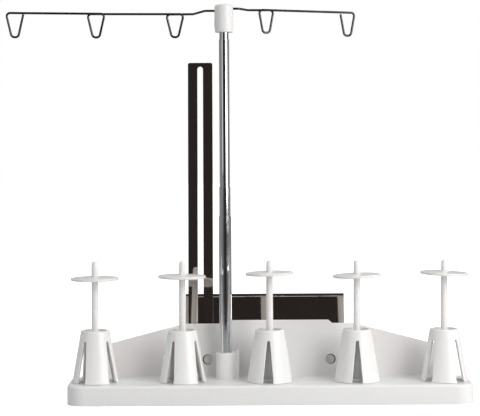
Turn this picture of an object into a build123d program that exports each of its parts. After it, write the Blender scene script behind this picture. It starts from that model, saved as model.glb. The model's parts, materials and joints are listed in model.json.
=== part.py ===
from build123d import *

import os
from math import cos, hypot, radians, sin, tan

# Five-spool thread stand: a moulded tray with a back wall, spool pins with cones and caps, a
# telescopic mast that carries a wire thread guide, and a slotted steel bracket behind the wall.
#
# ---------------------------------------------------------------- driving dimensions, mm
# The origin is the middle of the tray's foot rim, on the surface the stand rests on.
# +X runs along the tray, +Y points to the back wall, +Z is up.
GAP = 0.3
SLIP = 0.05
OVERCUT = 1.0

TRAY_LENGTH = 350.0
TRAY_DEPTH = 58.0
DECK_TOP = 17.0
DECK_THICKNESS = 3.0
SKIRT_THICKNESS = 2.4
FRONT_CORNER_RADIUS = 15.0
REAR_CORNER_RADIUS = 8.0
DECK_EDGE_RADIUS = 2.4
RIB_THICKNESS = 1.8
RIB_CLEARANCE = 3.0

WALL_FRONT_Y = 24.0
WALL_LEAN = 8.0
WALL_THICKNESS = 3.0
WALL_ROOT = 4.0
WALL_HALF_LENGTH = 160.0
WALL_FLAT_HALF = 76.0
WALL_FLAT_HEIGHT = 47.2
WALL_END_SLOPE = 0.26
WALL_CREST_RISE = 3.0
WALL_CREST_LEFT = -41.0
WALL_CREST_RIGHT = 53.0
WALL_FOOT_RADIUS = 2.5
WALL_RIM_RADIUS = 0.8
WALL_END_RADIUS = 12.0
WALL_SHOULDER_RADIUS = 18.0
WALL_CREST_RADIUS = 2.0

PIN_COUNT = 5
PIN_PITCH = 75.8
PIN_Y = -2.0
PIN_TOP = 122.0
PIN_TIP_LENGTH = 5.0
PIN_TIP_RADIUS = 2.4
PIN_TIP_FILLET = 1.9
PIN_TOP_RADIUS = 2.8
PIN_ROOT_RADIUS = 3.0
PIN_COLUMN_TOP = 53.2
PIN_COLUMN_RADIUS = 4.8
PIN_FLANGE_RADIUS = 9.5
PIN_FLANGE_HEIGHT = 3.0
PIN_SPIGOT_RADIUS = 3.4
PIN_SPIGOT_LENGTH = 4.0
PIN_FLANGE_EDGE = 0.8
PIN_COLUMN_TAPER = 0.4
PIN_BOSS_WALL = 2.6
PIN_BOSS_HEIGHT = 4.0

CONE_FOOT_RADIUS = 20.1
CONE_FOOT_BAND = 1.8
CONE_FOOT_STEP = 0.25
CONE_TOP_RADIUS = 12.3
CONE_TOP = 62.2
CONE_WALL = 2.2
CONE_SHOULDER_RADIUS = 1.6
CONE_WEB_BOTTOM = 53.5
CONE_WEB_THICKNESS = 2.0
CONE_HOLE_RADIUS = 3.4
CONE_SLOT_TOP = 53.4
CONE_SLOT_TOP_WIDTH = 2.6
CONE_SLOT_FOOT_WIDTH = 9.2
CONE_SLOTS = 4
CONE_SLOT_REACH = 22.5
CONE_SLOT_EDGE = 0.5
CONE_TURNS = (54.9, 56.2, -5.5, -2.7, 38.2)

# the caps sit a little loose, so each hangs at its own small tilt, in degrees
CAP_HEIGHTS = (105.7, 107.2, 109.6, 107.4, 109.1)
CAP_TILTS = (-0.4, 0.5, -1.3, -2.0, 2.5)
CAP_RADIUS = 20.7
CAP_THICKNESS = 2.2
CAP_CROWN = 0.7
CAP_RIM_RADIUS = 0.85
CAP_HUB_RADIUS = 4.3
CAP_HUB_ABOVE = 0.3
CAP_BORE_RADIUS = 3.3

MAST_X = -38.4
MAST_Y = 15.0
SOCKET_RADIUS = 8.6
SOCKET_RIM_RADIUS = 0.6
SOCKET_BAND_HEIGHT = 2.8
SOCKET_BAND_STEP = 0.25
SOCKET_TOP = 40.0
SOCKET_FLOOR_TOP = 6.0
SOCKET_FLOOR_BOTTOM = 3.0
SOCKET_RIB_RIGHT = -26.6
SOCKET_RIB_WIDTH = 6.0
SOCKET_RIB_REACH = 3.0
SOCKET_POST_WIDTH = 2.2
SOCKET_POST_HEIGHT = 3.0
TUBE_WALL = 0.3
LIP_LENGTH = 1.2
LIP_RADIUS = 0.35
TOP_LIP_WIDTH = 0.6
SLEEVE_LENGTH = 9.0
SLEEVE_OFFSET = 1.0
PLUG_HEIGHT = 9.0
# outer diameter, bottom height and top height of each mast tube, outermost first
MAST_TUBES = (
    ("mast_outer_tube", 11.0, 6.0, 159.7),
    ("mast_second_tube", 10.0, 38.7, 185.6),
    ("mast_third_tube", 9.0, 166.6, 314.5),
    ("mast_top_tube", 8.0, 184.0, 333.0),
)

HEAD_BOTTOM = 320.6
HEAD_TOP = 345.6
HEAD_RADIUS = 8.4
HEAD_TOP_RADIUS = 8.05
HEAD_FOOT_RADIUS = 7.8
HEAD_FOOT_HEIGHT = 7.0
HEAD_CROWN = 1.2
HEAD_SHOULDER_FILLET = 2.2
HEAD_FOOT_FILLET = 0.6
HEAD_BORE_TOP = 333.3
HEAD_BORE_CLEARANCE = 0.08
WIRE_SEAT_X = 2.0

WIRE_DIAMETER = 2.0
WIRE_JOG = 18.0
WIRE_STACK = 2.15
WIRE_BEND_RADIUS = 2.4
WIRE_END_CHAMFER = 0.3
WIRE_END_CLEARANCE = 0.35
LOOP_CORNER_RADIUS = 2.8
LOOP_FOOT_RADIUS = 3.1
LOOP_FOOT_HALF = 2.9

# Each wire's loops: middle of each loop from the mast, half width, depth, heights of the wire at
# the head, at the bend behind the mast and over each loop, and the bend's two ends.
LEFT_LOOPS = (-43.4, -113.0, -184.5)
LEFT_LOOP_HALF = 7.8
LEFT_DEPTHS = (20.1, 20.6, 21.3)
LEFT_HEIGHTS = (339.4, 338.1, 338.0, 338.5, 339.7)
LEFT_JOG = (-16.6, -27.4)
RIGHT_LOOPS = (37.3, 110.1)
RIGHT_LOOP_HALF = 6.5
RIGHT_DEPTHS = (20.0, 20.4)
RIGHT_HEIGHTS = (341.2, 341.4, 341.6, 339.8)
RIGHT_JOG = (13.2, 21.0)
RIGHT_SWEEP = 10.0

BAR_X = -60.7
BAR_WIDTH = 22.2
BAR_THICKNESS = 2.0
BAR_BOTTOM = 25.0
BAR_TOP = 283.2
BAR_CORNER_RADIUS = 1.7
BAR_SLOT_WIDTH = 5.0
BAR_SLOT_MARGIN = 3.4
BAR_EDGE = 0.15
BAR_SEAT = WALL_THICKNESS + 0.1

PLATE_LEFT = -74.2
PLATE_RIGHT = 67.3
PLATE_BOTTOM = 5.0
PLATE_TOP = 74.0
PLATE_THICKNESS = 1.5
PLATE_FLANGE = 9.0
PLATE_BEND_RADIUS = 1.6
PLATE_SEAT = WALL_THICKNESS + BAR_THICKNESS + 0.2

RIVET_X = 54.6
RIVET_INSET = 0.5
RIVET_UP = 15.4
RIVET_HOLE_RADIUS = 4.45
RIVET_HOLE_DEPTH = 1.9
RIVET_HEAD_RADIUS = 3.95
RIVET_HEAD_HEIGHT = 0.9
RIVET_SHANK_RADIUS = 2.0
RIVET_BOSS_RADIUS = 3.7
RIVET_TAIL_RADIUS = 3.4
RIVET_TAIL_HEIGHT = 1.2

CLAMP_UP = 40.0
CLAMP_STUD_RADIUS = 2.0
CLAMP_HEAD_RADIUS = 5.5
CLAMP_HEAD_HEIGHT = 1.1
CLAMP_POCKET_RADIUS = 6.5
CLAMP_POCKET_DEPTH = 1.3
CLAMP_WASHER_RADIUS = 6.0
CLAMP_WASHER_THICKNESS = 0.8
CLAMP_NUT_RADIUS = 4.0
CLAMP_NUT_HEIGHT = 4.5
CLAMP_WING_HALF = 11.0
CLAMP_WING_THICKNESS = 2.2
CLAMP_WING_TIP = 4.0
CLAMP_WING_FILLET = 1.6
CLAMP_NUT_TAPER = 8.0
CLAMP_STUD_END = 2.0
CLAMP_STUD_CHAMFER = 0.5

SCREW_SHANK_RADIUS = 1.5
SCREW_HEAD_RADIUS = 3.3
SCREW_HEAD_HEIGHT = 2.0
SCREW_LENGTH = 15.0
SCREW_EDGE = 0.8
SCREW_DRIVE_LENGTH = 3.6
SCREW_DRIVE_WIDTH = 0.9
SCREW_DRIVE_DEPTH = 1.1
SCREW_CLEARANCE = 0.1
MAST_SCREW_LENGTH = 12.0

# ---------------------------------------------------------------- derived values
os.makedirs("parts", exist_ok=True)
PIN_XS = [(index - (PIN_COUNT - 1) / 2) * PIN_PITCH for index in range(PIN_COUNT)]
DECK_UNDERSIDE = DECK_TOP - DECK_THICKNESS
PIN_PLACES = [(pin_x, PIN_Y) for pin_x in PIN_XS]
SCREW_HEAD_SEAT = DECK_UNDERSIDE - PIN_BOSS_HEIGHT
MAST_CENTRE = (MAST_X, MAST_Y)
BEHIND_WALL = WALL_FRONT_Y + WALL_THICKNESS
BEHIND_PLATE = PLATE_SEAT + PLATE_THICKNESS
RIVET_HOLES = [(-RIVET_X, RIVET_UP), (RIVET_X, RIVET_UP)]
RIVET_PLACES = [(-RIVET_X + RIVET_INSET, RIVET_UP), (RIVET_X - RIVET_INSET, RIVET_UP)]
CLAMP_PLACE = (BAR_X, CLAMP_UP)
CONE_FOOT = DECK_TOP + GAP
CONE_TAPER = (CONE_FOOT_RADIUS - CONE_TOP_RADIUS) / (CONE_TOP - CONE_FOOT)
CONE_BAND_TOP = CONE_FOOT + CONE_FOOT_BAND
LEAN_SIN = sin(radians(WALL_LEAN))
LEAN_COS = cos(radians(WALL_LEAN))
# Everything on the wall is drawn in the wall's front plane: local X along the tray, local Y up
# the leaning wall, and negative extrusions run towards the back.
WALL_PLANE = Plane(
    origin=(0, WALL_FRONT_Y, DECK_TOP),
    x_dir=(1, 0, 0),
    z_dir=(0, -LEAN_COS, LEAN_SIN),
)


def behind(depth):
    """The plane parallel to the wall's front face, this far behind it."""
    return WALL_PLANE.offset(-depth)


def save(builder, name):
    """Label a finished piece and write its STEP file."""
    builder.part.label = name
    export_step(builder.part, f"parts/{name}.step")


# ---------------------------------------------------------------- tray with its back wall
# The wall is level in the middle with a low crest, and slopes down to both ends.
end_height = WALL_FLAT_HEIGHT - WALL_END_SLOPE * (WALL_HALF_LENGTH - WALL_FLAT_HALF)
crest_height = WALL_FLAT_HEIGHT + WALL_CREST_RISE
with BuildPart() as back_wall:
    with BuildSketch(WALL_PLANE) as wall_outline:
        with BuildLine():
            Polyline(
                (-WALL_HALF_LENGTH, -WALL_ROOT),
                (-WALL_HALF_LENGTH, end_height),
                (-WALL_FLAT_HALF, WALL_FLAT_HEIGHT),
                (WALL_CREST_LEFT - WALL_CREST_RISE, WALL_FLAT_HEIGHT),
                (WALL_CREST_LEFT, crest_height),
                (WALL_CREST_RIGHT, crest_height),
                (WALL_CREST_RIGHT + WALL_CREST_RISE, WALL_FLAT_HEIGHT),
                (WALL_FLAT_HALF, WALL_FLAT_HEIGHT),
                (WALL_HALF_LENGTH, end_height),
                (WALL_HALF_LENGTH, -WALL_ROOT),
                close=True,
            )
        make_face()
        corner_radii = (
            (WALL_HALF_LENGTH, WALL_END_RADIUS),
            (WALL_FLAT_HALF, WALL_SHOULDER_RADIUS),
        )
        for corner_x, corner_radius in corner_radii:
            corners = wall_outline.vertices().filter_by(
                lambda corner: abs(abs(corner.X) - corner_x) < GAP and corner.Y > 0
            )
            fillet(corners, radius=corner_radius)
        crest_corners = wall_outline.vertices().filter_by(
            lambda corner: corner.Y > crest_height - WALL_CREST_RISE - GAP
            and abs(corner.X) < WALL_FLAT_HALF - WALL_SHOULDER_RADIUS
        )
        fillet(crest_corners, radius=WALL_CREST_RADIUS)
    extrude(amount=-WALL_THICKNESS)
    wall_faces = back_wall.faces().filter_by(WALL_PLANE)
    wall_rim = wall_faces.edges().filter_by(lambda edge: edge.center().Z > DECK_TOP)
    fillet(wall_rim, radius=WALL_RIM_RADIUS)

with BuildPart() as tray:
    with BuildSketch(Plane.XY) as foot_outline:
        Rectangle(TRAY_LENGTH, TRAY_DEPTH)
        front_corners = foot_outline.vertices().group_by(Axis.Y)[0]
        fillet(front_corners, radius=FRONT_CORNER_RADIUS)
        rear_corners = foot_outline.vertices().group_by(Axis.Y)[-1].sort_by(Axis.X)
        fillet([rear_corners[0], rear_corners[-1]], radius=REAR_CORNER_RADIUS)
    extrude(amount=DECK_TOP)
    deck_edges = tray.faces().sort_by(Axis.Z)[-1].edges()
    fillet(deck_edges, radius=DECK_EDGE_RADIUS)

    # hollow underside, with a skirt all round and cross ribs between the pins
    with BuildSketch(Plane.XY):
        add(foot_outline.sketch)
        offset(amount=-SKIRT_THICKNESS, kind=Kind.INTERSECTION)
    extrude(amount=DECK_UNDERSIDE, mode=Mode.SUBTRACT)
    rib_depth = TRAY_DEPTH - SKIRT_THICKNESS
    with BuildSketch(Plane.XY.offset(RIB_CLEARANCE)):
        with GridLocations(PIN_PITCH, 1, PIN_COUNT - 1, 1):
            Rectangle(RIB_THICKNESS, rib_depth)
    extrude(amount=DECK_UNDERSIDE - RIB_CLEARANCE + GAP)

    # the back wall stands on the deck's rear edge, with a fillet along its foot
    add(back_wall.part)
    wall_foot_edges = tray.edges().filter_by(Axis.X).filter_by(
        lambda edge: abs(edge.center().Z - DECK_TOP) < GAP
        and abs(edge.center().Y - WALL_FRONT_Y) < GAP
    )
    fillet(wall_foot_edges, radius=WALL_FOOT_RADIUS)

    # socket for the mast, tied to the wall by a web and by a rib with a small post on its right
    with BuildSketch(Plane.XY.offset(SOCKET_FLOOR_BOTTOM)):
        with Locations(MAST_CENTRE):
            Circle(SOCKET_RADIUS)
    extrude(amount=SOCKET_TOP - SOCKET_FLOOR_BOTTOM)
    with BuildSketch(Plane.XY.offset(SOCKET_TOP - SOCKET_BAND_HEIGHT)):
        with Locations(MAST_CENTRE):
            Circle(SOCKET_RADIUS + SOCKET_BAND_STEP)
    extrude(amount=SOCKET_BAND_HEIGHT)
    socket_rim = tray.faces().filter_by(GeomType.PLANE).filter_by(
        lambda face: abs(face.center().Z - SOCKET_TOP) < GAP
    )
    fillet(socket_rim.edges(), radius=SOCKET_RIM_RADIUS)
    with BuildSketch(Plane.XY.offset(DECK_UNDERSIDE)):
        with Locations(MAST_CENTRE):
            Rectangle(SOCKET_RADIUS, BEHIND_WALL - MAST_Y, align=(Align.CENTER, Align.MIN))
    extrude(amount=SOCKET_TOP - 2 * SOCKET_RIM_RADIUS - DECK_UNDERSIDE)
    with BuildSketch(Plane.XY.offset(DECK_UNDERSIDE)):
        with Locations((SOCKET_RIB_RIGHT, MAST_Y - SOCKET_RIB_REACH)):
            rib_reach = BEHIND_WALL - MAST_Y + SOCKET_RIB_REACH
            Rectangle(SOCKET_RIB_WIDTH, rib_reach, align=(Align.MAX, Align.MIN))
    extrude(amount=SOCKET_TOP - SOCKET_RIM_RADIUS - DECK_UNDERSIDE)
    with BuildSketch(Plane.XY.offset(DECK_TOP)):
        with Locations((SOCKET_RIB_RIGHT, MAST_Y - SOCKET_RIB_REACH)):
            Rectangle(SOCKET_POST_WIDTH, SOCKET_POST_WIDTH, align=(Align.MAX, Align.MIN))
    extrude(amount=SOCKET_TOP + SOCKET_POST_HEIGHT - DECK_TOP)
    with BuildSketch(Plane.XY.offset(SOCKET_FLOOR_TOP)):
        with Locations(MAST_CENTRE):
            Circle(MAST_TUBES[0][1] / 2)
    extrude(amount=SOCKET_TOP, mode=Mode.SUBTRACT)
    with BuildSketch(Plane.XY):
        with Locations(MAST_CENTRE):
            Circle(SCREW_SHANK_RADIUS + SCREW_CLEARANCE)
    extrude(amount=DECK_TOP, mode=Mode.SUBTRACT)

    # a screw boss under the deck for each pin, with a spigot hole down from the deck
    with BuildSketch(Plane.XY.offset(SCREW_HEAD_SEAT)):
        with Locations(*PIN_PLACES):
            Circle(PIN_SPIGOT_RADIUS + PIN_BOSS_WALL)
    extrude(amount=PIN_BOSS_HEIGHT + GAP)
    with BuildSketch(Plane.XY.offset(DECK_TOP - PIN_SPIGOT_LENGTH)):
        with Locations(*PIN_PLACES):
            Circle(PIN_SPIGOT_RADIUS + SLIP)
    extrude(amount=PIN_SPIGOT_LENGTH + OVERCUT, mode=Mode.SUBTRACT)
    with BuildSketch(Plane.XY):
        with Locations(*PIN_PLACES):
            Circle(SCREW_SHANK_RADIUS + SCREW_CLEARANCE)
    extrude(amount=DECK_UNDERSIDE, mode=Mode.SUBTRACT)

    # rivet holes with a counterbore at the front and a spacing boss at the back
    with BuildSketch(behind(WALL_THICKNESS - GAP)):
        with Locations(*RIVET_HOLES):
            Circle(RIVET_BOSS_RADIUS)
    extrude(amount=-(PLATE_SEAT - WALL_THICKNESS + GAP))
    with BuildSketch(WALL_PLANE):
        with Locations(*RIVET_HOLES):
            Circle(RIVET_HOLE_RADIUS)
    extrude(amount=-RIVET_HOLE_DEPTH, mode=Mode.SUBTRACT)
    with BuildSketch(WALL_PLANE):
        with Locations(*RIVET_PLACES):
            Circle(RIVET_SHANK_RADIUS + SCREW_CLEARANCE)
    extrude(amount=-PLATE_SEAT - OVERCUT, mode=Mode.SUBTRACT)

    # pocket in the back of the wall for the head of the bar's clamp stud
    with BuildSketch(behind(WALL_THICKNESS + OVERCUT)):
        with Locations(CLAMP_PLACE):
            Circle(CLAMP_POCKET_RADIUS)
    extrude(amount=CLAMP_POCKET_DEPTH + OVERCUT, mode=Mode.SUBTRACT)
save(tray, "tray")


# ---------------------------------------------------------------- spool pins, cones and caps
def make_pin(x, number):
    """A tapered spool pin on a stout column and a flange, with a spigot through the deck."""
    with BuildPart() as spool_pin:
        with BuildSketch(Plane.XZ.offset(-PIN_Y)) as pin_profile:
            with BuildLine():
                Polyline(
                    (x, DECK_TOP - PIN_SPIGOT_LENGTH),
                    (x + PIN_SPIGOT_RADIUS, DECK_TOP - PIN_SPIGOT_LENGTH),
                    (x + PIN_SPIGOT_RADIUS, DECK_TOP),
                    (x + PIN_FLANGE_RADIUS, DECK_TOP),
                    (x + PIN_FLANGE_RADIUS, DECK_TOP + PIN_FLANGE_HEIGHT),
                    (x + PIN_COLUMN_RADIUS + PIN_COLUMN_TAPER, DECK_TOP + PIN_FLANGE_HEIGHT),
                    (x + PIN_COLUMN_RADIUS, PIN_COLUMN_TOP),
                    (x + PIN_ROOT_RADIUS, PIN_COLUMN_TOP),
                    (x + PIN_TOP_RADIUS, PIN_TOP - PIN_TIP_LENGTH),
                    (x + PIN_TIP_RADIUS, PIN_TOP),
                    (x, PIN_TOP),
                    close=True,
                )
            make_face()
            tip_corner = pin_profile.vertices().group_by(Axis.Y)[-1].sort_by(Axis.X)[-1]
            fillet(tip_corner, radius=PIN_TIP_FILLET)
        revolve(axis=Axis((x, PIN_Y, 0), (0, 0, 1)))
        flange_edges = spool_pin.edges().filter_by(GeomType.CIRCLE).filter_by(
            lambda edge: abs(edge.radius - PIN_FLANGE_RADIUS) < SLIP
        )
        fillet(flange_edges.sort_by(Axis.Z)[-1], radius=PIN_FLANGE_EDGE)
        with BuildSketch(Plane.XY.offset(SCREW_HEAD_SEAT)):
            with Locations((x, PIN_Y)):
                Circle(SCREW_SHANK_RADIUS + SLIP)
        extrude(amount=SCREW_LENGTH + OVERCUT, mode=Mode.SUBTRACT)
    save(spool_pin, f"spool_pin_{number}")


def cone_radius(height):
    """The cone's outer radius at this height."""
    return CONE_TOP_RADIUS + CONE_TAPER * (CONE_TOP - height)


def is_outer_slot_edge(edge, x):
    """Whether an edge runs where a slot cuts the outer surface of the cone on the pin at x."""
    middle = edge.position_at(0.5)
    radius = hypot(middle.X - x, middle.Y - PIN_Y)
    beside_slot = CONE_BAND_TOP + CONE_FOOT_STEP + GAP < middle.Z < CONE_SLOT_TOP + GAP
    return beside_slot and abs(radius - cone_radius(middle.Z)) < SLIP


def make_cone(x, number, turn):
    """A slotted cone that centres a spool: a thin shell with four legs and a web inside."""
    web_radius = cone_radius(CONE_WEB_BOTTOM) - CONE_WALL / 2
    band_radius = cone_radius(CONE_BAND_TOP)
    with BuildPart() as spool_cone:
        with BuildSketch(Plane.XZ.offset(-PIN_Y)) as cone_profile:
            with BuildLine():
                Polyline(
                    (x + CONE_FOOT_RADIUS - CONE_WALL, CONE_FOOT),
                    (x + CONE_FOOT_RADIUS + CONE_FOOT_STEP, CONE_FOOT),
                    (x + band_radius + CONE_FOOT_STEP, CONE_BAND_TOP),
                    (x + band_radius, CONE_BAND_TOP + CONE_FOOT_STEP),
                    (x + CONE_TOP_RADIUS, CONE_TOP),
                    (x + CONE_TOP_RADIUS - CONE_WALL, CONE_TOP),
                    close=True,
                )
            make_face()
            shoulder = cone_profile.vertices().group_by(Axis.Y)[-1].sort_by(Axis.X)[-1]
            fillet(shoulder, radius=CONE_SHOULDER_RADIUS)
        revolve(axis=Axis((x, PIN_Y, 0), (0, 0, 1)))
        with BuildSketch(Plane.XY.offset(CONE_WEB_BOTTOM)):
            with Locations((x, PIN_Y)):
                Circle(web_radius)
                Circle(CONE_HOLE_RADIUS, mode=Mode.SUBTRACT)
        extrude(amount=CONE_WEB_THICKNESS)
        slot_top = CONE_SLOT_TOP - CONE_SLOT_TOP_WIDTH / 2
        for leg in range(CONE_SLOTS):
            angle = turn + leg * 360 / CONE_SLOTS
            outward = (sin(radians(angle)), -cos(radians(angle)), 0)
            sideways = (cos(radians(angle)), sin(radians(angle)), 0)
            with BuildSketch(Plane((x, PIN_Y, 0), x_dir=sideways, z_dir=outward)):
                with BuildLine():
                    Polyline(
                        (-CONE_SLOT_TOP_WIDTH / 2, slot_top),
                        (-CONE_SLOT_FOOT_WIDTH / 2, DECK_TOP),
                        (CONE_SLOT_FOOT_WIDTH / 2, DECK_TOP),
                        (CONE_SLOT_TOP_WIDTH / 2, slot_top),
                    )
                    ThreePointArc(
                        (CONE_SLOT_TOP_WIDTH / 2, slot_top),
                        (0, CONE_SLOT_TOP),
                        (-CONE_SLOT_TOP_WIDTH / 2, slot_top),
                    )
                make_face()
            extrude(amount=CONE_SLOT_REACH, mode=Mode.SUBTRACT)
        slot_edges = spool_cone.edges().filter_by(lambda edge: is_outer_slot_edge(edge, x))
        fillet(slot_edges, radius=CONE_SLOT_EDGE)
    save(spool_cone, f"spool_cone_{number}")


def cap_rise(radius):
    """How far the cap's shallow dome stands above its rim at this distance from the middle."""
    return CAP_CROWN * (1 - (radius / CAP_RADIUS) ** 2)


def make_cap(x, number, height, tilt):
    """A slightly domed disc that slides on its pin and keeps the spool from lifting."""
    sideways = (cos(radians(tilt)), 0, -sin(radians(tilt)))
    upwards = (sin(radians(tilt)), 0, cos(radians(tilt)))
    half_way = CAP_RADIUS / 2
    hub_top = CAP_THICKNESS + CAP_CROWN + CAP_HUB_ABOVE
    hub_crown = cap_rise(CAP_HUB_RADIUS)
    with BuildPart() as spool_cap:
        cap_plane = Plane((x, PIN_Y, height), x_dir=sideways, z_dir=(0, -1, 0))
        with BuildSketch(cap_plane) as cap_profile:
            with BuildLine():
                ThreePointArc(
                    (CAP_HUB_RADIUS, CAP_THICKNESS + hub_crown),
                    (half_way, CAP_THICKNESS + cap_rise(half_way)),
                    (CAP_RADIUS, CAP_THICKNESS),
                )
                Polyline(
                    (CAP_RADIUS, CAP_THICKNESS),
                    (CAP_RADIUS, 0),
                    (CAP_BORE_RADIUS, 0),
                    (CAP_BORE_RADIUS, hub_top),
                    (CAP_HUB_RADIUS, hub_top),
                    (CAP_HUB_RADIUS, CAP_THICKNESS + hub_crown),
                )
            make_face()
            fillet(cap_profile.vertices().group_by(Axis.X)[-1], radius=CAP_RIM_RADIUS)
        revolve(axis=Axis((x, PIN_Y, height), upwards))
    save(spool_cap, f"spool_cap_{number}")


for index, pin_x in enumerate(PIN_XS):
    make_pin(pin_x, index + 1)
    make_cone(pin_x, index + 1, CONE_TURNS[index])
    make_cap(pin_x, index + 1, CAP_HEIGHTS[index], CAP_TILTS[index])


def make_screws(name, places, seat, length):
    """Pan-head screws driven upwards, one solid at each place."""
    with BuildPart() as screws:
        with BuildSketch(Plane.XY.offset(seat)):
            with Locations(*places):
                Circle(SCREW_HEAD_RADIUS)
        extrude(amount=-SCREW_HEAD_HEIGHT)
        head_edges = screws.faces().sort_by(Axis.Z)[: len(places)].edges()
        fillet(head_edges, radius=SCREW_EDGE)
        with BuildSketch(Plane.XY.offset(seat - SCREW_HEAD_HEIGHT)):
            with Locations(*places):
                Rectangle(SCREW_DRIVE_LENGTH, SCREW_DRIVE_WIDTH)
                Rectangle(SCREW_DRIVE_WIDTH, SCREW_DRIVE_LENGTH)
        extrude(amount=SCREW_DRIVE_DEPTH, mode=Mode.SUBTRACT)
        with BuildSketch(Plane.XY.offset(seat)):
            with Locations(*places):
                Circle(SCREW_SHANK_RADIUS)
        extrude(amount=length)
    save(screws, name)


make_screws("pin_screws", PIN_PLACES, SCREW_HEAD_SEAT, SCREW_LENGTH)
make_screws("mast_screw", [MAST_CENTRE], SOCKET_FLOOR_BOTTOM, MAST_SCREW_LENGTH)


# ---------------------------------------------------------------- telescopic mast
def make_tube(name, diameter, bottom, top, lip_radius):
    """A thin chromed tube whose top rim is rolled in to hold the next tube's sleeve."""
    with BuildPart() as tube:
        with BuildSketch(Plane.XY.offset(bottom)):
            with Locations(MAST_CENTRE):
                Circle(diameter / 2)
        extrude(amount=top - bottom)
        fillet(tube.edges().sort_by(Axis.Z)[-1], radius=LIP_RADIUS)
        with BuildSketch(Plane.XY.offset(bottom)):
            with Locations(MAST_CENTRE):
                Circle(diameter / 2 - TUBE_WALL)
        extrude(amount=top - bottom - LIP_LENGTH, mode=Mode.SUBTRACT)
        with BuildSketch(Plane.XY.offset(bottom)):
            with Locations(MAST_CENTRE):
                Circle(lip_radius)
        extrude(amount=top - bottom, mode=Mode.SUBTRACT)
    save(tube, name)


def make_sleeve(name, inner_radius, outer_radius, bottom):
    """A thin bronze sleeve on the foot of a sliding tube, which gives the mast its friction."""
    with BuildPart() as sleeve:
        with BuildSketch(Plane.XY.offset(bottom)):
            with Locations(MAST_CENTRE):
                Circle(outer_radius)
                Circle(inner_radius, mode=Mode.SUBTRACT)
        extrude(amount=SLEEVE_LENGTH)
    save(sleeve, name)


for index, (tube_name, diameter, bottom, top) in enumerate(MAST_TUBES):
    bore_radius = diameter / 2 - TUBE_WALL
    if index < len(MAST_TUBES) - 1:
        next_radius = MAST_TUBES[index + 1][1] / 2
        make_tube(tube_name, diameter, bottom, top, next_radius + SLIP)
        sleeve_name = tube_name.replace("tube", "inner_sleeve")
        sleeve_bottom = MAST_TUBES[index + 1][2] + SLEEVE_OFFSET
        make_sleeve(sleeve_name, next_radius, bore_radius - SLIP, sleeve_bottom)
    else:
        make_tube(tube_name, diameter, bottom, top, bore_radius - TOP_LIP_WIDTH)

with BuildPart() as mast_plug:
    with BuildSketch(Plane.XY.offset(SOCKET_FLOOR_TOP)):
        with Locations(MAST_CENTRE):
            Circle(MAST_TUBES[0][1] / 2 - TUBE_WALL)
            Circle(SCREW_SHANK_RADIUS + SLIP, mode=Mode.SUBTRACT)
    extrude(amount=PLUG_HEIGHT)
save(mast_plug, "mast_plug")

# ---------------------------------------------------------------- guide head and wires
head_axis = Axis((MAST_X, MAST_Y, 0), (0, 0, 1))
with BuildPart() as guide_head:
    with BuildSketch(Plane.XZ.offset(-MAST_Y)) as head_profile:
        with BuildLine():
            Polyline(
                (MAST_X, HEAD_BOTTOM),
                (MAST_X + HEAD_FOOT_RADIUS, HEAD_BOTTOM),
                (MAST_X + HEAD_RADIUS, HEAD_BOTTOM + HEAD_FOOT_HEIGHT),
                (MAST_X + HEAD_TOP_RADIUS, HEAD_TOP - HEAD_CROWN),
                (MAST_X, HEAD_TOP),
                close=True,
            )
        make_face()
        shoulder = head_profile.vertices().sort_by(Axis.Y)[-2]
        fillet(shoulder, radius=HEAD_SHOULDER_FILLET)
        foot = head_profile.vertices().group_by(Axis.Y)[0].sort_by(Axis.X)[-1]
        fillet(foot, radius=HEAD_FOOT_FILLET)
    revolve(axis=head_axis)
    with BuildSketch(Plane.XY.offset(HEAD_BOTTOM)):
        with Locations(MAST_CENTRE):
            Circle(MAST_TUBES[-1][1] / 2 + HEAD_BORE_CLEARANCE)
    extrude(amount=HEAD_BORE_TOP - HEAD_BOTTOM, mode=Mode.SUBTRACT)
    for side, height in ((-1, LEFT_HEIGHTS[0]), (1, RIGHT_HEIGHTS[0])):
        wire_seat = (MAST_X + WIRE_SEAT_X * side, MAST_Y, height)
        with BuildSketch(Plane(wire_seat, z_dir=(side, 0, 0))):
            Circle(WIRE_DIAMETER / 2)
        extrude(amount=HEAD_RADIUS, mode=Mode.SUBTRACT)
save(guide_head, "guide_head")


def loop_corners(centre, inward, half, loop_back, height, loop_depth):
    """The four corners of one hanging loop, from its first top corner round to its last.

    The wire runs outwards over the loop, turns down at the outer corner, comes back up at the
    inner corner and crosses in front of itself, one wire diameter nearer the front."""
    foot = height - loop_depth
    third = WIRE_STACK / 3
    return [
        (centre - inward * half, loop_back, height),
        (centre - inward * LOOP_FOOT_HALF, loop_back - third, foot),
        (centre + inward * LOOP_FOOT_HALF, loop_back - 2 * third, foot),
        (centre + inward * half, loop_back - WIRE_STACK, height),
    ]


def end_loop_corners(centre, inward, half, loop_back, height, loop_depth):
    """The corners of the last loop, which lies flat and ends just under its own top run."""
    foot = height - loop_depth
    lowered = WIRE_DIAMETER / 2 + WIRE_END_CLEARANCE
    lean_in = (half - LOOP_FOOT_HALF) * lowered / loop_depth
    return [
        (centre - inward * half, loop_back, height),
        (centre - inward * LOOP_FOOT_HALF, loop_back, foot),
        (centre + inward * LOOP_FOOT_HALF, loop_back, foot),
        (centre + inward * (half - lean_in), loop_back, height - lowered),
    ]


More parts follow.
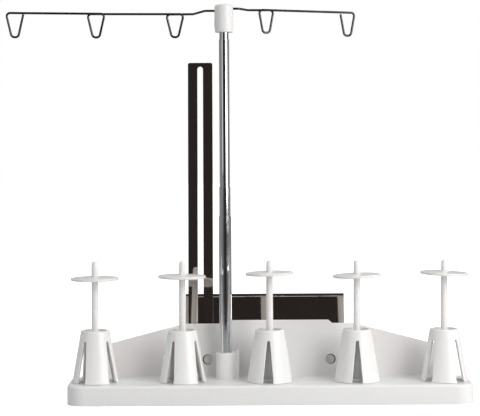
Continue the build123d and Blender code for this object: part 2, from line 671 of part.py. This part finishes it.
def make_wire(name, loops, inward, half, depths, heights, jog, sweep_angle):
    """A thread guide wire: out of the head, back past the mast, then along its loops."""
    bend_start, bend_end = jog
    head_height, bend_height, *loop_heights = heights
    points = [
        (-inward * WIRE_SEAT_X, 0, head_height),
        (bend_start, 0, head_height),
        (bend_end, WIRE_JOG, bend_height),
    ]
    radii = [WIRE_BEND_RADIUS, WIRE_BEND_RADIUS]
    loop_back = WIRE_JOG
    for centre, height, loop_depth in zip(loops[:-1], loop_heights, depths):
        points += loop_corners(centre, inward, half, loop_back, height, loop_depth)
        radii += [LOOP_CORNER_RADIUS, LOOP_FOOT_RADIUS, LOOP_FOOT_RADIUS, LOOP_CORNER_RADIUS]
        loop_back -= WIRE_STACK
    points += end_loop_corners(loops[-1], inward, half, loop_back, loop_heights[-1], depths[-1])
    radii += [LOOP_CORNER_RADIUS, LOOP_FOOT_RADIUS, LOOP_FOOT_RADIUS]
    back_slope = tan(radians(sweep_angle))
    placed = []
    for x, y, z in points:
        swept = max(0.0, (bend_end - x) * inward) * back_slope
        placed.append((MAST_X + x, MAST_Y + y + swept, z))
    with BuildPart() as wire:
        with BuildLine() as route:
            FilletPolyline(*placed, radius=radii)
        start = route.wire() ^ 0
        with BuildSketch(start):
            Circle(WIRE_DIAMETER / 2)
        sweep(path=route.wire())
        fillet(wire.faces().filter_by(GeomType.PLANE).edges(), radius=WIRE_END_CHAMFER)
    save(wire, name)


make_wire(
    "guide_wire_left",
    loops=LEFT_LOOPS,
    inward=1,
    half=LEFT_LOOP_HALF,
    depths=LEFT_DEPTHS,
    heights=LEFT_HEIGHTS,
    jog=LEFT_JOG,
    sweep_angle=0.0,
)
make_wire(
    "guide_wire_right",
    loops=RIGHT_LOOPS,
    inward=-1,
    half=RIGHT_LOOP_HALF,
    depths=RIGHT_DEPTHS,
    heights=RIGHT_HEIGHTS,
    jog=RIGHT_JOG,
    sweep_angle=RIGHT_SWEEP,
)

# ---------------------------------------------------------------- steel bracket behind the wall
with BuildPart() as bracket_plate:
    side_plane = Plane(
        origin=WALL_PLANE.from_local_coords((PLATE_LEFT, 0, 0)),
        x_dir=WALL_PLANE.y_dir,
        z_dir=(-1, 0, 0),
    )
    flange_underside = PLATE_TOP - PLATE_THICKNESS
    with BuildSketch(side_plane) as plate_profile:
        with BuildLine():
            Polyline(
                (PLATE_BOTTOM, PLATE_SEAT),
                (PLATE_TOP, PLATE_SEAT),
                (PLATE_TOP, PLATE_SEAT + PLATE_FLANGE),
                (flange_underside, PLATE_SEAT + PLATE_FLANGE),
                (flange_underside, BEHIND_PLATE),
                (PLATE_BOTTOM, BEHIND_PLATE),
                close=True,
            )
        make_face()
        outer_bend = plate_profile.vertices().sort_by_distance((PLATE_TOP, PLATE_SEAT))[0]
        fillet(outer_bend, radius=PLATE_BEND_RADIUS + PLATE_THICKNESS)
        inner_bend = plate_profile.vertices().sort_by_distance((flange_underside, BEHIND_PLATE))
        fillet(inner_bend[0], radius=PLATE_BEND_RADIUS)
    extrude(amount=PLATE_LEFT - PLATE_RIGHT)
    with BuildSketch(WALL_PLANE):
        with Locations(*RIVET_PLACES, CLAMP_PLACE):
            Circle(RIVET_SHANK_RADIUS + SCREW_CLEARANCE)
    extrude(amount=-BEHIND_PLATE - OVERCUT, mode=Mode.SUBTRACT)
save(bracket_plate, "bracket_plate")

with BuildPart() as slotted_bar:
    bar_length = BAR_TOP - BAR_BOTTOM
    with BuildSketch(behind(BAR_SEAT)):
        with Locations((BAR_X, BAR_BOTTOM + bar_length / 2)):
            RectangleRounded(BAR_WIDTH, bar_length, BAR_CORNER_RADIUS)
            SlotOverall(
                bar_length - 2 * BAR_SLOT_MARGIN, BAR_SLOT_WIDTH, rotation=90, mode=Mode.SUBTRACT
            )
    extrude(amount=-BAR_THICKNESS)
    bar_faces = slotted_bar.faces().filter_by(WALL_PLANE)
    chamfer(bar_faces.edges(), length=BAR_EDGE)
save(slotted_bar, "slotted_bar")

with BuildPart() as bracket_rivets:
    with BuildSketch(behind(RIVET_HOLE_DEPTH - RIVET_HEAD_HEIGHT)):
        with Locations(*RIVET_PLACES):
            Circle(RIVET_HEAD_RADIUS)
    extrude(amount=-RIVET_HEAD_HEIGHT)
    with BuildSketch(behind(RIVET_HOLE_DEPTH)):
        with Locations(*RIVET_PLACES):
            Circle(RIVET_SHANK_RADIUS)
    extrude(amount=RIVET_HOLE_DEPTH - BEHIND_PLATE)
    with BuildSketch(behind(BEHIND_PLATE)):
        with Locations(*RIVET_PLACES):
            Circle(RIVET_TAIL_RADIUS)
    extrude(amount=-RIVET_TAIL_HEIGHT)
save(bracket_rivets, "bracket_rivets")

# the bar's clamp: a flat-headed stud through the slot and the plate, a washer and a wing nut
WASHER_SEAT = BEHIND_PLATE + SLIP
NUT_SEAT = WASHER_SEAT + CLAMP_WASHER_THICKNESS
with BuildPart() as clamp_stud:
    with BuildSketch(behind(BAR_SEAT - SLIP - CLAMP_HEAD_HEIGHT)):
        with Locations(CLAMP_PLACE):
            Circle(CLAMP_HEAD_RADIUS)
    extrude(amount=-CLAMP_HEAD_HEIGHT)
    with BuildSketch(behind(BAR_SEAT - SLIP)):
        with Locations(CLAMP_PLACE):
            Circle(CLAMP_STUD_RADIUS)
    extrude(amount=BAR_SEAT - NUT_SEAT - CLAMP_NUT_HEIGHT - CLAMP_STUD_END)
    chamfer(clamp_stud.edges().sort_by(Axis.Y)[-1], length=CLAMP_STUD_CHAMFER)
save(clamp_stud, "clamp_stud")

with BuildPart() as clamp_washer:
    with BuildSketch(behind(WASHER_SEAT)):
        with Locations(CLAMP_PLACE):
            Circle(CLAMP_WASHER_RADIUS)
            Circle(CLAMP_STUD_RADIUS + SCREW_CLEARANCE, mode=Mode.SUBTRACT)
    extrude(amount=-CLAMP_WASHER_THICKNESS)
save(clamp_washer, "clamp_washer")

with BuildPart() as clamp_wing_nut:
    with BuildSketch(behind(NUT_SEAT)):
        with Locations(CLAMP_PLACE):
            Circle(CLAMP_NUT_RADIUS)
    extrude(amount=-CLAMP_NUT_HEIGHT, taper=CLAMP_NUT_TAPER)
    wing_plane = Plane(
        origin=WALL_PLANE.from_local_coords((BAR_X, CLAMP_UP, -NUT_SEAT)),
        x_dir=(1, 0, 0),
        z_dir=WALL_PLANE.y_dir,
    )
    wing_tip = CLAMP_NUT_HEIGHT * 2
    web_top = CLAMP_NUT_HEIGHT - CLAMP_WING_THICKNESS / 4
    with BuildSketch(wing_plane) as wing_profile:
        with BuildLine():
            Polyline(
                (0, GAP),
                (CLAMP_NUT_RADIUS, GAP),
                (CLAMP_WING_HALF, CLAMP_NUT_HEIGHT),
                (CLAMP_WING_HALF, wing_tip),
                (CLAMP_WING_HALF - CLAMP_WING_TIP, wing_tip),
                (CLAMP_NUT_RADIUS - OVERCUT, web_top),
                (0, web_top),
                close=True,
            )
        make_face()
        tip_corners = wing_profile.vertices().filter_by(
            lambda corner: corner.X > CLAMP_NUT_RADIUS + OVERCUT
        )
        fillet(tip_corners, radius=CLAMP_WING_FILLET)
        mirror(about=Plane.YZ)
    extrude(amount=CLAMP_WING_THICKNESS / 2, both=True)
    with BuildSketch(behind(NUT_SEAT)):
        with Locations(CLAMP_PLACE):
            Circle(CLAMP_STUD_RADIUS + SLIP)
    extrude(amount=-wing_tip, mode=Mode.SUBTRACT)
save(clamp_wing_nut, "clamp_wing_nut")
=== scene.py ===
"""Looks for the five-spool thread stand: materials, soft studio light and the photographer's view."""

import json
import math

import bpy
from mathutils import Matrix, Vector

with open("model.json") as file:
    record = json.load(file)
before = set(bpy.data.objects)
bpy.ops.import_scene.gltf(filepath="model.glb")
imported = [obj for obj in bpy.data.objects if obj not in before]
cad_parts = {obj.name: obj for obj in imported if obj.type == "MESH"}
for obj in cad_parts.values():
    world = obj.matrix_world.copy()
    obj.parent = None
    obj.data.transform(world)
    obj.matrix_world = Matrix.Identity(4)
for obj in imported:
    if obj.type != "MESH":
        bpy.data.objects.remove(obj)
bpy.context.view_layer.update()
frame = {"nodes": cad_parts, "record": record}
NODES = frame["nodes"]
SCENE = bpy.context.scene
SCENE.view_settings.view_transform = "Standard"

# ---------------------------------------------------------------- camera and studio, metres
IMAGE_WIDTH = 480
SENSOR_WIDTH = 36.0
CAMERA_DISTANCE = 1.350
CAMERA_X = -0.0252
CAMERA_HEIGHT = 0.2211
CAMERA_PITCH = 2.266
CAMERA_ROLL = -0.309
FOCAL_PIXELS = 1557.2

# Soft lights, each a name, its place, width and height, power in watts and colour. All face AIM.
AIM = (0.0, 0.0, 0.16)
SOFTBOXES = [
    ("key_right", (0.95, -0.85, 0.62), (0.95, 1.05), 13.9, (1.0, 0.99, 0.975)),
    ("fill_left", (-0.95, -0.95, 0.62), (0.55, 0.95), 1.1, (0.98, 0.99, 1.0)),
]

# The floor's half width, how far it lies under the feet, and its corners in half widths. Its greys
# are ramps over a faint grain: as shiny parts mirror it, as it lights matt parts, and as it is seen.
FLOOR_HALF = 4.0
FLOOR_DROP = 0.0002
FLOOR_CORNERS = ((-1, -0.5), (1, -0.5), (1, 8.0), (-1, 8.0))
FLOOR_GRAIN = 30.0
FLOOR_MIRRORED = [(0.3, 0.34), (0.7, 0.36)]
FLOOR_BOUNCED = [(0.3, 0.62), (0.7, 0.66)]
FLOOR_SEEN = [(0.3, 0.82), (0.7, 0.84)]
FLOOR_GLOW = 0.75
WHITE = (1.0, 1.0, 1.0, 1.0)

# What the shiny parts mirror. The room goes round from the camera's side (0) to the far side (1) and
# fades from the horizon (0) to straight up (1). The lamp is a band above the camera's side.
ROOM_AROUND = [
    (0.0, (0.032, 0.026, 0.024)),
    (0.09, (0.034, 0.029, 0.027)),
    (0.16, 0.11),
    (0.35, 0.24),
    (0.5, 0.28),
    (0.75, 0.28),
    (0.93, 0.28),
    (1.0, 0.5),
]
ROOM_HEIGHT = [(0.0, 1.0), (0.3, 1.0), (0.5, 0.3), (1.0, 0.15)]
LAMP_BAND = [(0.36, 0.0), (0.38, 1.0), (0.47, 1.0), (0.49, 0.03), (1.0, 0.03)]
LAMP_WIDTH = [(0.0, 1.0), (0.3, 0.9), (0.4, 0.0)]
# What lights the matt parts: a grey front, a bright backdrop and a bright ceiling.
SOFT_AROUND = [(0.0, 0.20), (0.4, 0.32), (0.6, 0.62), (1.0, 0.85)]
SOFT_CEILING = [(0.0, 0.0), (0.4, 0.10), (1.0, 0.45)]


def make_camera():
    """The photographer's view: almost level, a little left of the tray's middle."""
    data = bpy.data.cameras.new("camera")
    data.sensor_width = SENSOR_WIDTH
    data.lens = FOCAL_PIXELS / IMAGE_WIDTH * SENSOR_WIDTH
    data.clip_end = 30.0
    camera = bpy.data.objects.new("camera", data)
    SCENE.collection.objects.link(camera)
    place = Matrix.Translation((CAMERA_X, -CAMERA_DISTANCE, CAMERA_HEIGHT))
    tilt = Matrix.Rotation(math.radians(90 - CAMERA_PITCH), 4, "X")
    roll = Matrix.Rotation(math.radians(CAMERA_ROLL), 4, "Z")
    camera.matrix_world = place @ tilt @ roll
    SCENE.camera = camera


def make_softbox(name, place, size, power, colour):
    """A rectangular soft light that faces the middle of the object."""
    data = bpy.data.lights.new(name, "AREA")
    data.shape = "RECTANGLE"
    data.size, data.size_y = size
    data.energy = power
    data.color = colour
    light = bpy.data.objects.new(name, data)
    SCENE.collection.objects.link(light)
    light.location = place
    facing = Vector(AIM) - Vector(place)
    light.rotation_euler = facing.to_track_quat("-Z", "Y").to_euler()


class Shader:
    """A small helper that adds and links shader nodes in one tree."""

    def __init__(self, tree):
        self.tree = tree
        tree.nodes.clear()

    def add(self, kind, settings=None, **sockets):
        """Adds a node, sets its own settings, then its sockets by name or links into them."""
        node = self.tree.nodes.new(kind)
        for name, value in (settings or {}).items():
            setattr(node, name, value)
        for name, value in sockets.items():
            socket = self.socket(node, name)
            if isinstance(value, bpy.types.NodeSocket):
                self.tree.links.new(value, socket)
            else:
                socket.default_value = value
        return node

    def socket(self, node, name):
        """A socket by its name with underscores for spaces, or by its number as in _0."""
        if name[0] == "_" and name[1:].isdigit():
            return node.inputs[int(name[1:])]
        return node.inputs[name.replace("_", " ")]

    def link(self, source, target):
        self.tree.links.new(source, target)

    def ramp(self, factor, stops):
        """A colour ramp from (position, grey or colour) stops."""
        node = self.tree.nodes.new("ShaderNodeValToRGB")
        elements = node.color_ramp.elements
        while len(elements) < len(stops):
            elements.new(0.5)
        for element, (position, colour) in zip(elements, stops):
            element.position = position
            if isinstance(colour, (int, float)):
                colour = (colour, colour, colour)
            element.color = (*colour, 1.0)
        self.link(factor, node.inputs["Fac"])
        return node.outputs["Color"]

    def math(self, operation, first, second=0.0):
        return self.add("ShaderNodeMath", {"operation": operation}, _0=first, _1=second).outputs[0]

    def vector(self, operation, first, second, output):
        sockets = {"_0": first} if second is None else {"_0": first, "_1": second}
        return self.add("ShaderNodeVectorMath", {"operation": operation}, **sockets).outputs[output]

    def mix(self, first, second, blend, factor=1.0):
        """Two colours blended, as ADD or MULTIPLY."""
        settings = {"data_type": "RGBA", "blend_type": blend}
        return self.add("ShaderNodeMix", settings, _0=factor, _6=first, _7=second).outputs[2]


def make_world():
    """A studio that is dark in the shiny parts' reflections and soft and pale for the matt parts.

    The camera itself sees plain white behind the object."""
    world = bpy.data.worlds.new("studio")
    SCENE.world = world
    world.use_nodes = True
    sh = Shader(world.node_tree)
    direction = sh.add("ShaderNodeTexCoord").outputs["Generated"]
    parts = sh.add("ShaderNodeSeparateXYZ", Vector=direction)
    sideways = sh.math("ABSOLUTE", parts.outputs["X"])
    azimuth = sh.math("ARCTAN2", sideways, sh.math("MULTIPLY", parts.outputs["Y"], -1.0))
    around = sh.math("DIVIDE", azimuth, math.pi)
    band = sh.mix(sh.ramp(around, LAMP_WIDTH), sh.ramp(parts.outputs["Z"], LAMP_BAND), "MULTIPLY")
    low_down = sh.ramp(sh.math("ABSOLUTE", parts.outputs["Z"]), ROOM_HEIGHT)
    room = sh.mix(sh.ramp(around, ROOM_AROUND), low_down, "MULTIPLY")
    mirrored = sh.mix(room, band, "ADD")
    ceiling = sh.ramp(parts.outputs["Z"], SOFT_CEILING)
    soft = sh.mix(sh.ramp(around, SOFT_AROUND), ceiling, "ADD")
    rays = sh.add("ShaderNodeLightPath")
    studio = sh.add("ShaderNodeBackground", Color=mirrored, Strength=1.0)
    pale = sh.add("ShaderNodeBackground", Color=soft, Strength=1.0)
    white = sh.add("ShaderNodeBackground", Color=WHITE, Strength=1.0)
    lit = sh.add(
        "ShaderNodeMixShader", _0=rays.outputs["Is Diffuse Ray"], _1=studio.outputs[0], _2=pale.outputs[0]
    )
    seen = sh.add(
        "ShaderNodeMixShader", _0=rays.outputs["Is Camera Ray"], _1=lit.outputs[0], _2=white.outputs[0]
    )
    sh.add("ShaderNodeOutputWorld", Surface=seen.outputs[0])


def make_floor():
    """A pale table: white to the camera, soft light for matt parts and dim in the shiny ones."""
    corners = [(side * FLOOR_HALF, y, -FLOOR_DROP) for side, y in FLOOR_CORNERS]
    mesh = bpy.data.meshes.new("floor")
    mesh.from_pydata(corners, [], [(0, 1, 2, 3)])
    floor = bpy.data.objects.new("floor", mesh)
    SCENE.collection.objects.link(floor)
    sh = new_material("pale_floor")
    grain = noise(sh, object_coordinates(sh), FLOOR_GRAIN)
    rays = sh.add("ShaderNodeLightPath")
    dim = sh.add("ShaderNodeBsdfDiffuse", Color=sh.ramp(grain, FLOOR_MIRRORED))
    matt = sh.add("ShaderNodeBsdfDiffuse", Color=sh.ramp(grain, FLOOR_BOUNCED))
    lit = sh.add("ShaderNodeBsdfDiffuse", Color=sh.ramp(grain, FLOOR_SEEN))
    glow = sh.add("ShaderNodeEmission", Color=WHITE, Strength=FLOOR_GLOW)
    bright = sh.add("ShaderNodeAddShader", _0=lit.outputs[0], _1=glow.outputs[0])
    bounced = sh.add(
        "ShaderNodeMixShader", _0=rays.outputs["Is Diffuse Ray"], _1=dim.outputs[0], _2=matt.outputs[0]
    )
    seen = sh.add(
        "ShaderNodeMixShader", _0=rays.outputs["Is Camera Ray"], _1=bounced.outputs[0], _2=bright.outputs[0]
    )
    sh.add("ShaderNodeOutputMaterial", Surface=seen.outputs[0])
    floor.data.materials.append(sh.material)


# ---------------------------------------------------------------- materials
# Each plastic's darkest and lightest shade, its roughness and the depth of its grain.
TRAY_PLASTIC = ((0.836, 0.83, 0.824), (0.846, 0.84, 0.834), 0.36, 1.0)
PIN_PLASTIC = ((0.846, 0.838, 0.832), (0.856, 0.848, 0.842), 0.25, 0.4)
CONE_PLASTIC = ((0.846, 0.838, 0.832), (0.856, 0.848, 0.842), 0.24, 0.3)
CAP_PLASTIC = ((0.826, 0.82, 0.808), (0.836, 0.83, 0.818), 0.18, 0.3)
# How far light travels inside the plastic, metres, and how much of it does.
PLASTIC_GLOW_REACH = 0.004
PLASTIC_GLOW = 0.15
PLASTIC_IOR = 1.5

# Each metal's colour and roughness, and the lowest tube's orange peel.
CHROME = ((0.75, 0.76, 0.78), 0.05)
WORN_CHROME = ((0.75, 0.76, 0.78), 0.07, 0.5)
# The wire's colour is painted far darker than real chrome: painted shade standing in for the dark room it
# mirrors.
WIRE_CHROME_PAINTED_DARK = ((0.10, 0.101, 0.103), 0.10)
SHEET_STEEL = ((0.62, 0.585, 0.55), 0.04)
HARDWARE_STEEL = ((0.66, 0.62, 0.58), 0.42)
RIVET_STEEL = ((0.9, 0.85, 0.8), 0.42)
BRONZE = ((0.66, 0.44, 0.22), 0.25)
# How a tube's drawing lines and a sheet's scratches are stretched upwards.
TUBE_GRAIN = (1.0, 1.0, 0.02)
SHEET_GRAIN = (1.0, 1.0, 0.05)
# Each bracket sheet's slope and bow, as make_bright_steel describes them.
PLATE_BEND = (-0.049, -0.85)
BAR_BEND = (0.112, 0.0)

# The tray's two rivet holes, metres: how far each is from the middle, the middle point between
# their mouths, how wide and deep the painted shade of the gap goes, and how far below the mouth it starts.
WALL_LEAN = math.radians(8.0)
WALL_NORMAL = (0.0, -math.cos(WALL_LEAN), math.sin(WALL_LEAN))
WALL_UP = (0.0, math.sin(WALL_LEAN), math.cos(WALL_LEAN))
HOLE_X = 0.0546
HOLE_MIDDLE = (0.0, 0.026143, 0.03225)
HOLE_REACH = 0.0046
HOLE_EDGE = 0.0001
HOLE_DEPTH = 0.00195
PAINTED_HOLE_SHADE = (0.045, 0.04, 0.036)


def new_material(name):
    material = bpy.data.materials.new(name)
    material.use_nodes = True
    sh = Shader(material.node_tree)
    sh.material = material
    return sh


def finish_material(sh, **sockets):
    """A Principled shader with these sockets, linked to the output."""
    surface = sh.add("ShaderNodeBsdfPrincipled", **sockets)
    sh.add("ShaderNodeOutputMaterial", Surface=surface.outputs[0])
    return sh.material


def object_coordinates(sh, stretch=(1.0, 1.0, 1.0)):
    """Object coordinates in metres, scaled along each axis."""
    place = sh.add("ShaderNodeTexCoord").outputs["Object"]
    return sh.add("ShaderNodeMapping", Vector=place, Scale=stretch).outputs[0]


def noise(sh, vector, scale, detail=3.0, roughness=0.5):
    return sh.add(
        "ShaderNodeTexNoise", Vector=vector, Scale=scale, Detail=detail, Roughness=roughness
    ).outputs["Fac"]


def rivet_gap_shade(sh, place):
    """Painted shade in the tray's two round holes, beside the rivet heads, standing in for the shadowed
    gap; white elsewhere.
    """
    across = sh.math("ABSOLUTE", sh.add("ShaderNodeSeparateXYZ", Vector=place).outputs["X"])
    from_hole = sh.vector("SUBTRACT", place, HOLE_MIDDLE, "Vector")
    depth = sh.vector("DOT_PRODUCT", from_hole, WALL_NORMAL, "Value")
    up = sh.vector("DOT_PRODUCT", from_hole, WALL_UP, "Value")
    flat = sh.add("ShaderNodeCombineXYZ", _0=sh.math("SUBTRACT", across, HOLE_X), _1=up).outputs[0]
    near = sh.math("LESS_THAN", sh.vector("LENGTH", flat, None, "Value"), HOLE_REACH)
    sunk = sh.math("LESS_THAN", depth, -HOLE_EDGE)
    shallow = sh.math("GREATER_THAN", depth, -HOLE_DEPTH)
    inside = sh.math("MULTIPLY", near, sh.math("MULTIPLY", sunk, shallow))
    return sh.ramp(inside, [(0.0, 1.0), (1.0, PAINTED_HOLE_SHADE)])


def make_plastic(name, low, high, rough, grain, painted_shade=None):
    """White moulded plastic: faint flow clouds, a fine spark-eroded grain and soft handling marks."""
    sh = new_material(name)
    place = object_coordinates(sh)
    clouds = noise(sh, place, scale=26.0)
    colour = sh.ramp(clouds, [(0.3, low), (0.7, high)])
    # Painted shade, where given, darkens the colour: the shadowed gaps round the rivet heads.
    if painted_shade:
        colour = sh.mix(colour, painted_shade(sh, place), "MULTIPLY")
    handling = noise(sh, place, scale=90.0, detail=4.0, roughness=0.55)
    gloss = sh.ramp(handling, [(0.35, rough - 0.03), (0.7, rough + 0.04)])
    fine = noise(sh, place, scale=2600.0, detail=2.0)
    sink = noise(sh, place, scale=55.0, detail=1.0)
    bump = sh.add("ShaderNodeBump", Strength=0.10, Distance=0.00005 * grain, Height=fine)
    soft = sh.add("ShaderNodeBump", Strength=0.5, Distance=0.00004, Height=sink)
    sh.link(bump.outputs[0], soft.inputs["Normal"])
    return finish_material(
        sh,
        Base_Color=colour,
        Roughness=gloss,
        Normal=soft.outputs[0],
        IOR=PLASTIC_IOR,
        Subsurface_Weight=PLASTIC_GLOW,
        Subsurface_Scale=PLASTIC_GLOW_REACH,
    )


def make_chrome(name, colour, rough, peel=0.0):
    """Bright chrome plate with faint drawing lines along the tube, small smudges and orange peel."""
    sh = new_material(name)
    place = object_coordinates(sh)
    along = object_coordinates(sh, TUBE_GRAIN)
    lines = noise(sh, along, scale=2400.0, detail=2.0)
    smudge = noise(sh, place, scale=55.0, detail=5.0, roughness=0.65)
    tint = sh.ramp(smudge, [(0.35, [c * 0.9 for c in colour]), (0.65, colour)])
    streaks = sh.ramp(smudge, [(0.4, rough), (0.75, rough + 0.09)])
    bump = sh.add("ShaderNodeBump", Strength=0.05, Distance=0.00002, Height=lines)
    pitted = noise(sh, place, scale=700.0, detail=3.0, roughness=0.6)
    skin = sh.add("ShaderNodeBump", Strength=peel, Distance=0.00003, Height=pitted)
    sh.link(bump.outputs[0], skin.inputs["Normal"])
    return finish_material(
        sh, Base_Color=tint, Metallic=1.0, Roughness=streaks, Normal=skin.outputs[0]
    )


def make_bright_steel(name, colour, rough, slope=0.0, bow=0.0):
    """Polished nickel-plated sheet with wipe marks and fine scratches.

    The sheet isn't quite flat: its face turns by slope, and by bow for each metre along X, which
    moves what it mirrors."""
    sh = new_material(name)
    place = object_coordinates(sh)
    scratch_place = object_coordinates(sh, SHEET_GRAIN)
    scratches = noise(sh, scratch_place, scale=1800.0, detail=2.0)
    wipes = noise(sh, place, scale=60.0, detail=6.0, roughness=0.7)
    tint = sh.ramp(wipes, [(0.3, [c * 0.92 for c in colour]), (0.7, colour)])
    gloss = sh.ramp(wipes, [(0.4, rough), (0.8, rough + 0.06)])
    bump = sh.add("ShaderNodeBump", Strength=0.015, Distance=0.00003, Height=scratches)
    along = sh.add("ShaderNodeSeparateXYZ", Vector=place).outputs["X"]
    turn = sh.math("ADD", sh.math("MULTIPLY", along, bow / 2), slope)
    sheet = sh.add("ShaderNodeBump", Strength=1.0, Distance=1.0, Height=sh.math("MULTIPLY", along, turn))
    sh.link(bump.outputs[0], sheet.inputs["Normal"])
    return finish_material(
        sh, Base_Color=tint, Metallic=1.0, Roughness=gloss, Normal=sheet.outputs[0]
    )


def paint(nodes, material):
    """Gives CAD nodes a material in every slot."""
    for node in nodes:
        piece = NODES[node]
        if not piece.material_slots:
            piece.data.materials.append(material)
        for slot in piece.material_slots:
            slot.material = material


def paint_cad_nodes():
    """Each material slot's finish on its CAD nodes.

    The bar, the lowest tube and the rivets differ from the rest of their slots."""
    # The tray's plastic carries painted shade in its two rivet holes.
    white = make_plastic("white_tray", *TRAY_PLASTIC, rivet_gap_shade)
    pin_white = make_plastic("white_pin", *PIN_PLASTIC)
    by_slot = {
        "white_plastic": white,
        "pin_plastic": pin_white,
        "cone_plastic": make_plastic("white_cone", *CONE_PLASTIC),
        "cap_plastic": make_plastic("white_cap", *CAP_PLASTIC),
        "head_plastic": white,
        "chrome_tube": make_chrome("chrome_tube", *CHROME),
        "chrome_wire": make_chrome("chrome_wire", *WIRE_CHROME_PAINTED_DARK),
        "polished_steel": make_bright_steel("plate_steel", *SHEET_STEEL, *PLATE_BEND),
        "steel_hardware": make_bright_steel("plated_hardware", *HARDWARE_STEEL),
        "bronze": make_bright_steel("bronze", *BRONZE),
    }
    for subpart in frame["record"]["subparts"]:
        paint([subpart["node"]], by_slot[subpart["material_slot"]])
    paint(["mast_outer_tube"], make_chrome("worn_chrome", *WORN_CHROME))
    paint(["bracket_rivets"], make_bright_steel("rivet_steel", *RIVET_STEEL))
    paint(["slotted_bar"], make_bright_steel("bar_steel", *SHEET_STEEL, *BAR_BEND))


make_camera()
make_world()
for softbox in SOFTBOXES:
    make_softbox(*softbox)
make_floor()
paint_cad_nodes()
